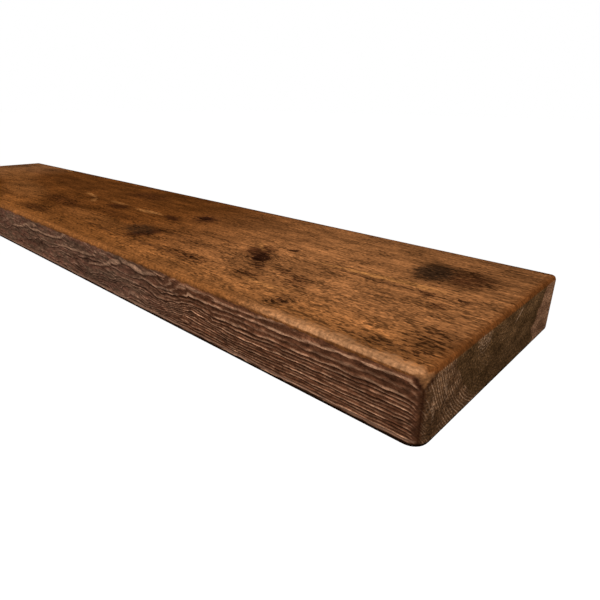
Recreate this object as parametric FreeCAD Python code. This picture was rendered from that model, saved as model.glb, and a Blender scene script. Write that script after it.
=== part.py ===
import FreeCAD, Part
import math
import os

# A floating wall shelf: one thick softwood board that slides onto three steel rods.
# Each rod is riveted into a small plate, and each plate is screwed to the wall through two plugs.
# Millimetres. The origin is on the wall's surface, at the middle of the board's length and thickness.
# +X runs along the board, to the right as seen from the room, +Y goes into the wall and +Z is up.

# Board
BOARD_LENGTH = 950.0
BOARD_DEPTH = 195.0
BOARD_THICKNESS = 45.0
EDGE_ROUND = 3.5
FRONT_CORNER_ROUND = 10.0

# Brackets
BRACKET_END_MARGIN = 125.0
PLATE_HEIGHT = 30.0
PLATE_THICKNESS = 3.0
PLATE_CORNER_ROUND = 6.0
PLATE_END_MARGIN = 10.0
ROD_DIAMETER = 12.0
ROD_LENGTH = 120.0
ROD_TIP_CHAMFER = 1.5

# The rod's riveted end, behind its shoulder
RIVET_SHOULDER = 2.0
RIVET_FLARE = 1.5
RIVET_FLARE_DEPTH = 1.5
RIVET_SET_BACK = 0.3

# Wall screws
SCREW_SPACING = 50.0
SCREW_DIAMETER = 5.0
SCREW_LENGTH = 50.0
SCREW_POINT_LENGTH = 6.0
SCREW_HEAD_DIAMETER = 9.2
SCREW_HEAD_SET_BACK = 0.1
CROSS_LENGTH = 5.0
CROSS_WIDTH = 1.2
CROSS_DEPTH = 1.8
CROSS_TAPER = 0.6

# Wall plugs
PLUG_WALL = 1.4
PLUG_LENGTH = 40.0
PLUG_SET_BACK = 2.5
PLUG_COLLAR_LENGTH = 10.0
PLUG_TIP_LENGTH = 4.0
PLUG_TIP_TAPER = 0.9
PLUG_BARB_COUNT = 7
PLUG_BARB_DEPTH = 0.5
PLUG_SLIT_WIDTH = 1.0

# Clearances
BORE_CLEARANCE = 0.25
BORE_END_CLEARANCE = 3.0
POCKET_CLEARANCE = 0.4
POCKET_DEPTH_CLEARANCE = 0.5
SCREW_HOLE_CLEARANCE = 0.25
SCREW_SEAT_CLEARANCE = 0.05
PLUG_BORE_CLEARANCE = 0.1

# Half the angle at the point of a twist drill, which leaves the bores' conical ends
DRILL_POINT_HALF_ANGLE = 59.0

# Worked out from the sizes above
BRACKET_OFFSET = BOARD_LENGTH / 2 - BRACKET_END_MARGIN
BRACKET_PLACES = {"left": -BRACKET_OFFSET, "centre": 0.0, "right": BRACKET_OFFSET}
SCREW_OFFSETS = (-SCREW_SPACING / 2, SCREW_SPACING / 2)
PLATE_WIDTH = SCREW_SPACING + SCREW_HEAD_DIAMETER + 2 * PLATE_END_MARGIN
ROD_RADIUS = ROD_DIAMETER / 2
RIVET_RADIUS = ROD_RADIUS - RIVET_SHOULDER
SCREW_RADIUS = SCREW_DIAMETER / 2
SCREW_HEAD_RADIUS = SCREW_HEAD_DIAMETER / 2
PLUG_BORE_RADIUS = SCREW_RADIUS + PLUG_BORE_CLEARANCE
PLUG_RADIUS = PLUG_BORE_RADIUS + PLUG_WALL

Vector = FreeCAD.Vector
ACROSS_WALL = Vector(0, 1, 0)


def turned(outline, centre_x):
    """A round solid about a line along Y at centre_x. The outline is (radius, y) corners."""
    corners = [Vector(centre_x + radius, y, 0) for radius, y in outline]
    face = Part.Face(Part.makePolygon(corners + corners[:1]))
    return face.revolve(Vector(centre_x, 0, 0), ACROSS_WALL, 360)


def edges_along(solid, direction):
    """The straight edges of a block that run along one direction."""
    nearly_parallel = 0.99
    starts = [(edge, edge.tangentAt(edge.FirstParameter)) for edge in solid.Edges]
    return [edge for edge, start in starts if abs(start.dot(direction)) > nearly_parallel]


def rounded_slab(centre_x, width, height, corner_round, front_y):
    """A slab that stands on the wall plane and reaches out to front_y, with its four corners rounded."""
    slab = Part.makeBox(width, -front_y, height, Vector(centre_x - width / 2, front_y, -height / 2))
    return slab.makeFillet(corner_round, edges_along(slab, ACROSS_WALL))


def blank_board():
    """The plank with its rounded front corners and eased edges."""
    corner = Vector(-BOARD_LENGTH / 2, -BOARD_DEPTH, -BOARD_THICKNESS / 2)
    plank = Part.makeBox(BOARD_LENGTH, BOARD_DEPTH, BOARD_THICKNESS, corner)
    uprights = edges_along(plank, Vector(0, 0, 1))
    front = [edge for edge in uprights if edge.CenterOfMass.y < -BOARD_DEPTH / 2]
    plank = plank.makeFillet(FRONT_CORNER_ROUND, front)
    top_and_bottom = [edge for edge in plank.Edges if abs(edge.CenterOfMass.z) > BOARD_THICKNESS / 4]
    back = [edge for edge in edges_along(plank, Vector(0, 0, 1)) if edge.CenterOfMass.y > -EDGE_ROUND]
    return plank.makeFillet(EDGE_ROUND, top_and_bottom + back)


def bracket_cavity(centre_x):
    """What is cut from the board's back for one bracket: a routed pocket and a drilled blind bore."""
    pocket = rounded_slab(
        centre_x,
        PLATE_WIDTH + 2 * POCKET_CLEARANCE,
        PLATE_HEIGHT + 2 * POCKET_CLEARANCE,
        PLATE_CORNER_ROUND + POCKET_CLEARANCE,
        -(PLATE_THICKNESS + POCKET_DEPTH_CLEARANCE),
    )
    bore_radius = ROD_RADIUS + BORE_CLEARANCE
    bore_end = -(PLATE_THICKNESS + ROD_LENGTH + BORE_END_CLEARANCE)
    point_length = bore_radius / math.tan(math.radians(DRILL_POINT_HALF_ANGLE))
    bore = turned([(0, 0), (bore_radius, 0), (bore_radius, bore_end), (0, bore_end - point_length)], centre_x)
    return pocket.fuse(bore)


def shelf_board():
    """The board with a cavity for each bracket."""
    return blank_board().cut([bracket_cavity(centre_x) for centre_x in BRACKET_PLACES.values()])


def bracket_plate(centre_x):
    """A steel plate with a flared rivet hole in the middle and two countersunk screw holes."""
    plate = rounded_slab(centre_x, PLATE_WIDTH, PLATE_HEIGHT, PLATE_CORNER_ROUND, -PLATE_THICKNESS)
    rivet_hole = turned(
        [
            (0, 0),
            (RIVET_RADIUS + RIVET_FLARE, 0),
            (RIVET_RADIUS, -RIVET_FLARE_DEPTH),
            (RIVET_RADIUS, -PLATE_THICKNESS),
            (0, -PLATE_THICKNESS),
        ],
        centre_x,
    )
    # The countersink has sides at 45 degrees, so its depth is the difference of its radii.
    hole_radius = SCREW_RADIUS + SCREW_HOLE_CLEARANCE
    mouth_radius = SCREW_HEAD_RADIUS + SCREW_HEAD_SET_BACK + SCREW_SEAT_CLEARANCE
    countersink_end = -PLATE_THICKNESS + mouth_radius - hole_radius
    hole_outline = [
        (0, 0),
        (hole_radius, 0),
        (hole_radius, countersink_end),
        (mouth_radius, -PLATE_THICKNESS),
        (0, -PLATE_THICKNESS),
    ]
    screw_holes = [turned(hole_outline, centre_x + offset) for offset in SCREW_OFFSETS]
    return plate.cut([rivet_hole] + screw_holes)


def support_rod(centre_x):
    """A round rod whose shoulder stops on the plate and whose end is riveted over behind it."""
    rivet_face = RIVET_RADIUS + RIVET_FLARE * (1 - RIVET_SET_BACK / RIVET_FLARE_DEPTH)
    tip = -(PLATE_THICKNESS + ROD_LENGTH)
    outline = [
        (0, -RIVET_SET_BACK),
        (rivet_face, -RIVET_SET_BACK),
        (RIVET_RADIUS, -RIVET_FLARE_DEPTH),
        (RIVET_RADIUS, -PLATE_THICKNESS),
        (ROD_RADIUS, -PLATE_THICKNESS),
        (ROD_RADIUS, tip + ROD_TIP_CHAMFER),
        (ROD_RADIUS - ROD_TIP_CHAMFER, tip),
        (0, tip),
    ]
    return turned(outline, centre_x)


def cross_bar(centre_x, head_y, turn):
    """One tapering arm of the screw's cross recess, turned about the screw's axis."""
    half_length = CROSS_LENGTH / 2
    half_width = CROSS_WIDTH / 2
    floor_half_width = half_width * CROSS_TAPER
    floor_half_length = half_length * CROSS_TAPER
    bar = Part.makeWedge(
        -half_length, 0, -half_width, -floor_half_width, -floor_half_length,
        half_length, CROSS_DEPTH, half_width, floor_half_width, floor_half_length,
    )
    bar.rotate(Vector(0, 0, 0), ACROSS_WALL, turn)
    bar.translate(Vector(centre_x, head_y, 0))
    return bar


def wall_screw(centre_x):
    """A countersunk screw with a cross recess, its head just below the plate's face."""
    head_y = -PLATE_THICKNESS + SCREW_HEAD_SET_BACK
    neck_y = head_y + SCREW_HEAD_RADIUS - SCREW_RADIUS
    tip_y = head_y + SCREW_LENGTH
    outline = [
        (0, head_y),
        (SCREW_HEAD_RADIUS, head_y),
        (SCREW_RADIUS, neck_y),
        (SCREW_RADIUS, tip_y - SCREW_POINT_LENGTH),
        (0, tip_y),
    ]
    recess = [cross_bar(centre_x, head_y, turn) for turn in (0, 90)]
    return turned(outline, centre_x).cut(recess)


def wall_plug(centre_x):
    """A nylon plug, sunk just below the wall's surface: a plain collar, split barbs and a whole tip."""
    collar_end = PLUG_SET_BACK + PLUG_COLLAR_LENGTH
    tip_end = PLUG_SET_BACK + PLUG_LENGTH
    split_end = tip_end - PLUG_TIP_LENGTH
    barb_pitch = (split_end - collar_end) / PLUG_BARB_COUNT
    barb_root = PLUG_RADIUS - PLUG_BARB_DEPTH
    outline = [(PLUG_BORE_RADIUS, PLUG_SET_BACK), (PLUG_RADIUS, PLUG_SET_BACK), (PLUG_RADIUS, collar_end)]
    for barb in range(PLUG_BARB_COUNT):
        outline.append((barb_root, collar_end + barb * barb_pitch))
        outline.append((PLUG_RADIUS, collar_end + (barb + 1) * barb_pitch))
    outline.append((PLUG_RADIUS - PLUG_TIP_TAPER, tip_end))
    outline.append((PLUG_BORE_RADIUS, tip_end))
    plug = turned(outline, centre_x)

    # The slits start one barb behind the collar, so that the collar stays whole.
    slit_start = collar_end + barb_pitch
    past_the_wall = 2 * PLUG_RADIUS
    slit = Part.makeBox(
        2 * past_the_wall,
        split_end - slit_start,
        PLUG_SLIT_WIDTH,
        Vector(centre_x - past_the_wall, slit_start, -PLUG_SLIT_WIDTH / 2),
    )
    cross_slit = slit.copy()
    cross_slit.rotate(Vector(centre_x, 0, 0), ACROSS_WALL, 90)
    return plug.cut([slit, cross_slit])


def pair(make_piece, centre_x):
    """Two like pieces, one at each of a plate's screw holes."""
    return Part.makeCompound([make_piece(centre_x + offset) for offset in SCREW_OFFSETS])


def all_pieces():
    """Every node of the shelf, by name."""
    pieces = {"shelf_board": shelf_board()}
    for side, centre_x in BRACKET_PLACES.items():
        pieces[f"{side}_bracket_plate"] = bracket_plate(centre_x)
        pieces[f"{side}_support_rod"] = support_rod(centre_x)
        pieces[f"{side}_wall_screws"] = pair(wall_screw, centre_x)
        pieces[f"{side}_wall_plugs"] = pair(wall_plug, centre_x)
    return pieces


os.makedirs("parts", exist_ok=True)
for name, shape in all_pieces().items():
    shape.exportStep(f"parts/{name}.step")
    box = shape.optimalBoundingBox()
    print(f"{name}: {len(shape.Solids)} solid(s), valid {shape.isValid()}, {shape.Volume / 1000:.2f} cm3,"
          f" {box.XLength:.1f} x {box.YLength:.1f} x {box.ZLength:.1f} mm")
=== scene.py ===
# %% [markdown]
# # A floating wall shelf
# One thick plank of stained softwood hangs on hidden steel rods. This lesson loads the packed model as a
# fixed frame, makes a finished board in place of its plain one, gives the steel and nylon pieces their
# surfaces, and sets up the light and the camera. The model is in metres, with +X along the board and +Y into
# the wall. The figure of the wood is worked out in mm.

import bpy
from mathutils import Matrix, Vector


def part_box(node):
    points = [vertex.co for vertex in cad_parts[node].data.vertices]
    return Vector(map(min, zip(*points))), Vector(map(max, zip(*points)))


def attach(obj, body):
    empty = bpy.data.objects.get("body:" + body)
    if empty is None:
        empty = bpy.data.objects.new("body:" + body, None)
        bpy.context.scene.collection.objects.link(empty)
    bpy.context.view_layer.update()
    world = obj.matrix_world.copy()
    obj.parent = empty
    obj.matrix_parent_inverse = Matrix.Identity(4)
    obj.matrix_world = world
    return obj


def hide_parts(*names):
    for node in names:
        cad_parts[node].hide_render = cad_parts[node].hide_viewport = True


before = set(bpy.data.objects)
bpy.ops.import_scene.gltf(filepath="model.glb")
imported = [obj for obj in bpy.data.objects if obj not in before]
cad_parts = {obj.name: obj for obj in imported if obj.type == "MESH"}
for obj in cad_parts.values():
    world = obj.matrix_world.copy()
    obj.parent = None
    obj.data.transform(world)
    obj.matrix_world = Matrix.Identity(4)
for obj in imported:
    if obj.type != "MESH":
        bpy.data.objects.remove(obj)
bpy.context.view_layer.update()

# %% Modules and units
import math

import bmesh
import bpy
import numpy as np
from mathutils import Color, Euler, Matrix, Vector, noise

MM = 0.001
low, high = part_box("shelf_board")
print("board size in mm:", [round(side / MM, 1) for side in high - low])

# %% [markdown]
# ## The shape of the plank
# The real board is planed square, its front corners are cut round on a bandsaw, and a small round-over runs
# along every edge. A cube with bevels would give that outline but no points to carve. So the top starts as a
# fine grid whose lines bend round the front corners like the rings of an onion. It is pulled down to the
# board's thickness, and one bevel eases all the edges at once.

# %% Grid lines
EDGE_ROUND = 3.5 * MM
CORNER_SHELLS = [0.0, 2.2 * MM, 4.0 * MM, 5.5 * MM, 10.0 * MM]
BACK_ROW = 5.0 * MM
COLUMN_WIDTH = 3.0 * MM
ROW_WIDTH = 4.0 * MM

shells = len(CORNER_SHELLS) - 1
corner_round = CORNER_SHELLS[-1]
columns = round((high.x - low.x - 2 * corner_round) / COLUMN_WIDTH)
rows = round((high.y - low.y - corner_round - BACK_ROW) / ROW_WIDTH)
x_cells = columns + 2 * shells
y_cells = rows + shells + 1
print("grid cells:", x_cells, "by", y_cells)


# %% Place a grid corner
def line_x(i):
    """Where grid line i crosses the board's length."""
    if i < shells:
        return low.x + corner_round - CORNER_SHELLS[shells - i]
    if i > x_cells - shells:
        return high.x - corner_round + CORNER_SHELLS[i - x_cells + shells]
    share = (i - shells) / columns
    return low.x + corner_round + share * (high.x - low.x - 2 * corner_round)


def line_y(j):
    """Where grid line j crosses the board's depth, from the front."""
    if j < shells:
        return low.y + corner_round - CORNER_SHELLS[shells - j]
    if j == y_cells:
        return high.y
    share = (j - shells) / rows
    return low.y + corner_round + share * (high.y - BACK_ROW - low.y - corner_round)


def grid_point(i, j):
    """The place of a grid corner. In the front corners, square shells become quarter circles."""
    out_x = max(shells - i, i - (x_cells - shells), 0)
    out_y = max(shells - j, 0)
    if not (out_x and out_y):
        return Vector((line_x(i), line_y(j), high.z))
    shell = max(out_x, out_y)
    turn = math.pi / 4 * (out_y / out_x if out_x >= out_y else 2 - out_x / out_y)
    side = 1 if i > shells else -1
    centre_x = high.x - corner_round if side > 0 else low.x + corner_round
    reach = CORNER_SHELLS[shell]
    return Vector((
        centre_x + side * reach * math.cos(turn),
        low.y + corner_round - reach * math.sin(turn),
        high.z,
    ))


print("left front grid corner in mm:", [round(value / MM, 1) for value in grid_point(0, 0)])

# %% Blank board
SHARP_TURN = math.radians(60)
ROUND_STEPS = 4
ROUND_PROFILE = 0.5

bm = bmesh.new()
bmesh.ops.create_grid(bm, x_segments=x_cells, y_segments=y_cells, size=1.0)
for vert in bm.verts:
    vert.co = grid_point(round((vert.co.x + 1) / 2 * x_cells), round((vert.co.y + 1) / 2 * y_cells))
pulled = bmesh.ops.extrude_face_region(bm, geom=bm.faces[:])["geom"]
underside = [item for item in pulled if isinstance(item, bmesh.types.BMVert)]
bmesh.ops.translate(bm, verts=underside, vec=(0, 0, low.z - high.z))
bmesh.ops.recalc_face_normals(bm, faces=bm.faces[:])
corners = [edge for edge in bm.edges if edge.calc_face_angle(0) > SHARP_TURN]
bmesh.ops.bevel(bm, geom=corners, offset=EDGE_ROUND, offset_type="OFFSET", segments=ROUND_STEPS,
                profile=ROUND_PROFILE, affect="EDGES", material=-1, clamp_overlap=False)
print("blank board:", len(bm.faces), "faces")

# %% [markdown]
# The brushed figure runs along the front edge and the rings show on the ends, so those walls need many more
# points from top to bottom. The back edge lies on the wall and stays plain.

# %% Rows up the walls
WALL_ROWS = 76

wall_height = high.z - low.z - 2 * EDGE_ROUND
height_slack = EDGE_ROUND / 10
back_limit = high.y - (BACK_ROW + EDGE_ROUND) / 2
uprights = [
    edge for edge in bm.edges
    if abs(abs(edge.verts[0].co.z - edge.verts[1].co.z) - wall_height) < height_slack
    and edge.verts[0].co.y < back_limit
]
bmesh.ops.subdivide_edges(bm, edges=uprights, cuts=WALL_ROWS - 1)
blank = bpy.data.meshes.new("stained_board")
bm.to_mesh(blank)
bm.free()
board = bpy.data.objects.new("stained_board", blank)
bpy.context.scene.collection.objects.link(board)
print("after the walls:", len(blank.polygons), "faces")

# %% [markdown]
# ## Pockets and bores
# In the workshop a router sinks a shallow pocket for each steel plate, and a long drill makes a blind bore
# for each rod. Here the cutters are plain solids, a little larger than the plate and the rod of the frame,
# and a Boolean modifier takes them out of the board as the real tools would.

# %% Kit for cutters
SIDES = ["left", "centre", "right"]


def cutter(name, add):
    """One object that holds a cutter for each bracket."""
    bm = bmesh.new()
    for side in SIDES:
        add(bm, side)
    bmesh.ops.recalc_face_normals(bm, faces=bm.faces[:])
    mesh = bpy.data.meshes.new(name)
    bm.to_mesh(mesh)
    bm.free()
    tool = bpy.data.objects.new(name, mesh)
    bpy.context.scene.collection.objects.link(tool)
    print(name, "points:", len(mesh.vertices))
    return tool


print("brackets:", ", ".join(SIDES))

# %% Pocket cutters
POCKET_GAP = 0.4 * MM
POCKET_DEPTH_GAP = 0.5 * MM
POCKET_CORNER = 6.4 * MM
CUTTER_OVERHANG = 2.0 * MM
CORNER_STEPS = 6


def add_pocket(bm, side):
    """A rounded slab round one steel plate, reaching out of the back edge."""
    start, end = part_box(side + "_bracket_plate")
    start -= Vector((POCKET_GAP, POCKET_DEPTH_GAP, POCKET_GAP))
    end += Vector((POCKET_GAP, CUTTER_OVERHANG, POCKET_GAP))
    shape = Matrix.Translation((start + end) / 2) @ Matrix.Diagonal((*(end - start), 1))
    slab = bmesh.ops.create_cube(bm, size=1.0, matrix=shape)["verts"]
    edges = {edge for vert in slab for edge in vert.link_edges}
    deep = [edge for edge in edges if abs(edge.verts[0].co.y - edge.verts[1].co.y) > CUTTER_OVERHANG]
    bmesh.ops.bevel(bm, geom=deep, offset=POCKET_CORNER, offset_type="OFFSET", segments=CORNER_STEPS,
                    profile=ROUND_PROFILE, affect="EDGES", material=-1)


pocket_cutter = cutter("pocket_cutter", add_pocket)

# %% Bore cutters
BORE_GAP = 0.25 * MM
BORE_END_GAP = 3.0 * MM
DRILL_HALF_ANGLE = math.radians(59)
BORE_STEPS = 40


def add_bore(bm, side):
    """A round bar round one steel rod, with the cone that a drill leaves at its end."""
    start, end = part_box(side + "_support_rod")
    radius = (end.x - start.x) / 2 + BORE_GAP
    length = end.y - start.y + BORE_END_GAP
    middle = Vector(((start.x + end.x) / 2, end.y - length / 2, (start.z + end.z) / 2))
    pose = Matrix.Translation(middle) @ Matrix.Rotation(math.pi / 2, 4, "X")
    bar = bmesh.ops.create_cone(bm, cap_ends=True, segments=BORE_STEPS, radius1=radius, radius2=radius,
                                depth=length, matrix=pose)["verts"]
    faces = {face for vert in bar for face in vert.link_faces}
    tip = min(faces, key=lambda face: face.calc_center_median().y)
    bmesh.ops.poke(bm, faces=[tip], offset=radius / math.tan(DRILL_HALF_ANGLE))


bore_cutter = cutter("bore_cutter", add_bore)

# %% Cut the board
tools = [pocket_cutter, bore_cutter]
for tool in tools:
    cut = board.modifiers.new(tool.name, "BOOLEAN")
    cut.operation = "DIFFERENCE"
    cut.solver = "MANIFOLD"
    cut.object = tool
finished = board.evaluated_get(bpy.context.evaluated_depsgraph_get())
mesh = bpy.data.meshes.new_from_object(finished)
board.modifiers.clear()
board.data = mesh
for tool in tools:
    bpy.data.objects.remove(tool)
print("cut board:", len(mesh.vertices), "points")

# %% [markdown]
# ## How the tree grew
# A tree lays down one ring a year around its pith, so the rings are long nested tubes. The end of this board
# shows that the pith ran a little above its top, and that the rings get finer outwards. Working out the ring
# at every point of the solid makes the lines on the top, front and ends meet at the edges, as they do in
# real wood. A painted image on each face would not.

# %% Points of the board
count = len(mesh.vertices)
flat = np.empty(count * 3, dtype=np.float32)
mesh.vertices.foreach_get("co", flat)
places = flat.reshape(-1, 3) / MM
mesh.vertex_normals.foreach_get("vector", flat)
facing = flat.reshape(-1, 3).copy()
x, y, z = places.T
right, front, top, bottom = high.x / MM, low.y / MM, high.z / MM, low.z / MM
print("points:", count)


# %% Chance and steps
def wander(lengths, seed):
    """Smooth chance values, about -1 to 1, that change over these lengths along x, y and z in mm."""
    spots = places / np.array(lengths) + seed
    return np.array([noise.noise(Vector(spot)) for spot in spots])


def wander_up(lengths, seed):
    """The same chance, about 0 to 1."""
    return (wander(lengths, seed) + 1) / 2


def step(values, start, end):
    """0 before start and 1 past end, smooth between them. The start may be the larger one."""
    share = np.clip((values - start) / (end - start), 0, 1)
    return share * share * (3 - 2 * share)


print("a step at a quarter of its way:", step(0.25, 0, 1))

# %% [markdown]
# Branches leave knots, and the grain bends round them. Each row of numbers below is one mark on a face: its
# middle in mm, its half length along the grain and half width across it, its turn in degrees and its
# strength. A little chance frays the outlines, because no real mark is an exact ellipse.

# %% Kit for marks
MARK_DEPTH = 9.0
MARK_RIM = 1.4
MARK_CORE = 0.5


def on(face, *rows):
    """Marks of one face, each with the face's name in front."""
    return [(face, *row) for row in rows]


def mark_frame(mark):
    """A mark's middle, turns and half sizes. On the front and the end, its second place is a height."""
    face, first, second, half_first, half_second, degrees = mark[:-1]
    turn = math.radians(degrees)
    if face == "front":
        return (first, front, second), (0, -turn, 0), (half_first, MARK_DEPTH, half_second)
    if face == "end":
        return (right, first, second), (turn, 0, 0), (MARK_DEPTH, half_first, half_second)
    level = top if face == "top" else bottom
    return (first, second, level), (0, 0, turn), (half_first, half_second, MARK_DEPTH)


def away_from(mark, spots):
    """How far each spot is from the middle of a mark, where 1 is the mark's own edge."""
    middle, turns, halves = mark_frame(mark)
    local = (spots - np.array(middle)) @ np.array(Euler(turns).to_matrix()) / np.array(halves)
    return np.linalg.norm(local, axis=1)


def in_marks(marks, spots, rim=MARK_RIM, core=MARK_CORE):
    """How far each spot lies inside one of these marks, from 0 at the rim to the mark's strength."""
    shares = [mark[-1] * step(away_from(mark, spots), rim, core) for mark in marks]
    return np.max(shares, axis=0)


print("half depth of a mark in mm:", MARK_DEPTH)

# %% Frayed outlines
FRAY_LONG = (14, 6, 6)
FRAY_SHORT = (9, 4, 4)
FRAY_REACH = (2.5, 1.8, 0.7)

fray = np.stack([wander(FRAY_LONG, 51), wander(FRAY_SHORT, 53), wander(FRAY_SHORT, 59)], axis=1)
fray *= FRAY_REACH
frayed = places + fray
print("marks fray by up to", round(float(np.abs(fray).max()), 1), "mm")

# %% Knots
KNOTS = on(
    "top",
    (287, -124, 11, 9, -35, 0.95), (298, -139, 9, 4, -45, 0.4), (147, -70, 8, 7, -20, 0.85),
    (294, -91, 5, 3, 0, 0.8), (449, -100, 5, 4, -20, 0.5), (248, -162, 5, 4, 0, 0.4),
    (362, -178, 5, 6, -20, 0.5), (-258, -90, 12, 7, 0, 0.3),
) + on(
    "bottom",
    (364, -60, 13, 11, 20, 1.0), (205, -140, 10, 8, -30, 1.0), (-30, -85, 15, 12, 0, 1.0),
    (-160, -45, 8, 7, 0, 0.8), (-350, -120, 14, 12, 15, 1.0),
)
KNOT_REACH = 1.8
KNOT_SWIRL = 0.3
KNOT_BEND = 0.6

knot_swirl = np.zeros(count)
knot_dip = np.zeros(count)
drift = np.zeros(count)
for mark in KNOTS:
    _, _, mid_y, _, half_y, _, strength = mark
    away = away_from(mark, places)
    nearness = np.exp(-((away / KNOT_REACH) ** 2))
    knot_swirl += KNOT_SWIRL * half_y * nearness
    knot_dip += strength * np.exp(-(away ** 2))
    drift -= KNOT_BEND * (y - mid_y) * nearness
print("knots:", len(KNOTS), "largest bend in mm:", round(float(np.abs(drift).max()), 1))

# %% [markdown]
# The rings of a perfect tree would be exact circles. Slow and quick chance shifts them, much more from the
# middle of the board to the left, where the grain runs wild. Each row gives the lengths of one shift, its
# seed, its size in mm in calm wood and what wild wood adds.

# %% Wild grain
WILD_RIGHT = (430, 150)
WILD_LEFT = (-470, -400)
TORN_LENGTHS = (27, 40, 9)
TORN_SEED = 0.35
TORN_SHIFT = 0.8
RING_SHIFTS = [
    ((120, 60, 60), 3, 0.6, 0.6), ((34, 20, 16), 7, 0.3, 4.0),
    ((9, 8, 5), 11, 0.25, 0.6), ((6, 4, 3), 15, 0.2, 0.0),
]

wild = step(x, *WILD_RIGHT) * step(x, *WILD_LEFT)
torn = np.array([noise.cell(Vector(spot)) for spot in places / np.array(TORN_LENGTHS) + TORN_SEED])
ring_shift = np.zeros(count)
for lengths, seed, calm_size, wild_size in RING_SHIFTS:
    ring_shift += (calm_size + wild_size * wild) * wander(lengths, seed)
ring_shift += TORN_SHIFT * wild * torn
print("rings shift by up to", round(float(np.abs(ring_shift).max()), 1), "mm")

# %% Growth rings
PITH_Y = -95.0
PITH_Z = 52.5
PITH_LEAN = 0.016
HEART_RADIUS = 79.0
HEART_LENGTHS = (60, 9, 9)
HEART_SHIFT = 3
RING_WIDTH = 1.75
FINE_FROM = 110.5
FINE_GAIN = 0.42

pith_y = PITH_Y + PITH_LEAN * (x - right)
radius = np.hypot(y - pith_y, z - PITH_Z) + ring_shift - knot_swirl
rings = radius / RING_WIDTH + FINE_GAIN * np.maximum(radius - FINE_FROM, 0)
sapwood = radius - HEART_RADIUS + HEART_SHIFT * wander(HEART_LENGTHS, 23)
print("rings from", round(rings.min()), "to", round(rings.max()))

# %% [markdown]
# Stain pooled on the top in places, olive over some knots and red-brown beside them. Along the middle of the
# front the grain ran out of the plank, and pale flaps of wood tore along it, each with shade just below. All
# these marks are rows like a knot's.

# %% Stains of the top
OLIVE_STAINS = on(
    "top",
    (406, -60, 16, 22, 12, 0.95), (136, -142, 22, 14, -10, 0.7), (362, -177, 9, 12, -20, 0.4),
    (-450, -45, 26, 30, 0, 0.5),
) + on("bottom", (364, -60, 22, 18, 20, 0.7), (-30, -85, 26, 20, 0, 0.6))
RED_STAINS = on(
    "top",
    (430, -57, 22, 21, -20, 0.75), (153, -147, 11, 19, -15, 0.9), (278, -59, 8, 6, 0, 0.4),
    (347, -144, 12, 9, -30, 0.6), (325, -135, 20, 4, -17, 0.6), (439, -117, 6, 5, 0, 0.7),
    (460, -164, 15, 24, 0, 0.45), (22, -103, 22, 9, 0, 0.75), (119, -94, 18, 6, -12, 0.85),
    (-11, -43, 40, 18, 0, 0.55), (-52, -97, 12, 5, -8, 0.5), (-60, -132, 60, 13, -6, 0.5),
    (-39, -172, 36, 9, 0, 0.6), (-200, -60, 130, 20, -5, 0.2), (60, -125, 50, 9, -3, 0.35),
    (240, -163, 34, 8, 0, 0.5), (309, -159, 15, 11, -30, 0.55), (149, -73, 17, 15, -35, 0.6),
    (274, -112, 15, 13, -40, 0.9), (300, -139, 12, 6, -40, 0.6), (424, -103, 8, 4, -12, 0.75),
) + on("bottom", (180, -60, 60, 22, 0, 0.5), (-210, -120, 70, 25, 0, 0.5))
GOLDEN_CLOUDS = on(
    "top",
    (-330, -90, 95, 24, -12, 0.65), (-190, -130, 95, 22, -12, 0.65), (60, -150, 80, 14, -3, 0.35),
    (-440, -100, 60, 50, 0, 0.4),
)
STAIN_RIM = 1.5
STAIN_CORE = 0.4

olive = in_marks(OLIVE_STAINS, frayed, STAIN_RIM, STAIN_CORE)
red = in_marks(RED_STAINS, frayed, STAIN_RIM, STAIN_CORE)
golden = in_marks(GOLDEN_CLOUDS, frayed)
print("stains:", len(OLIVE_STAINS), "olive,", len(RED_STAINS), "red,", len(GOLDEN_CLOUDS), "golden")

# %% Flaps of the front
FLAPS = on(
    "front",
    (-38, 5, 16, 1, 8, 0.8), (-17, 9.5, 7, 1.2, 25, 1.0), (-4, 10, 8, 1.3, -15, 1.0),
    (14, 9.2, 12, 1.3, 5, 1.0), (34, 9.3, 10, 1.2, -3, 1.0), (52, 9.6, 10, 1.2, 4, 1.0),
    (71, 12, 11, 1.3, 11, 1.0), (85, 16, 6, 1.3, 28, 1.0), (5, 13.5, 15, 2.4, 5, 0.6),
    (73, 4, 19, 0.8, 5, 0.8), (105, 6, 15, 1, 2, 0.9), (131, 7.4, 13, 1.2, 4, 1.0),
    (149, 12, 5.5, 1.2, 65, 1.0), (148, 1.6, 17, 0.8, 10, 0.8), (170, 7, 8, 1.6, 25, 1.0),
    (185, 12, 10, 2.4, 13, 1.0), (204, 15, 8, 1.6, 3, 0.9), (219, 13.6, 11, 2.2, -8, 1.0),
    (237, 13.8, 9, 1.2, 8, 0.9), (0, 2.5, 10, 0.7, 0, 0.6), (36, 2, 13, 0.7, -2, 0.6),
    (100, -2, 9, 0.7, 4, 0.7), (173, 0, 10, 0.7, -8, 0.6), (207, 0.5, 14, 0.7, 0, 0.6),
    (255, 6.6, 14, 0.8, 4, 0.8), (-120, 8, 30, 1, 3, 0.7), (-210, 4, 40, 1, -4, 0.7),
)
HOLLOWS = on(
    "front",
    (104, 0, 12, 4, 0, 0.5), (120, -11, 15, 5, 0, 0.4), (289, -8, 3, 9, -8, 0.4),
    (324, -10, 5, 2, -30, 0.5), (20, -4, 20, 4, 0, 0.4),
)
FLAP_RIM = 1.2
FLAP_CORE = 0.8
SHADE_DROP = 0.7
SHADE_RIM = 1.9
SHADE_CORE = 1.0

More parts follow.
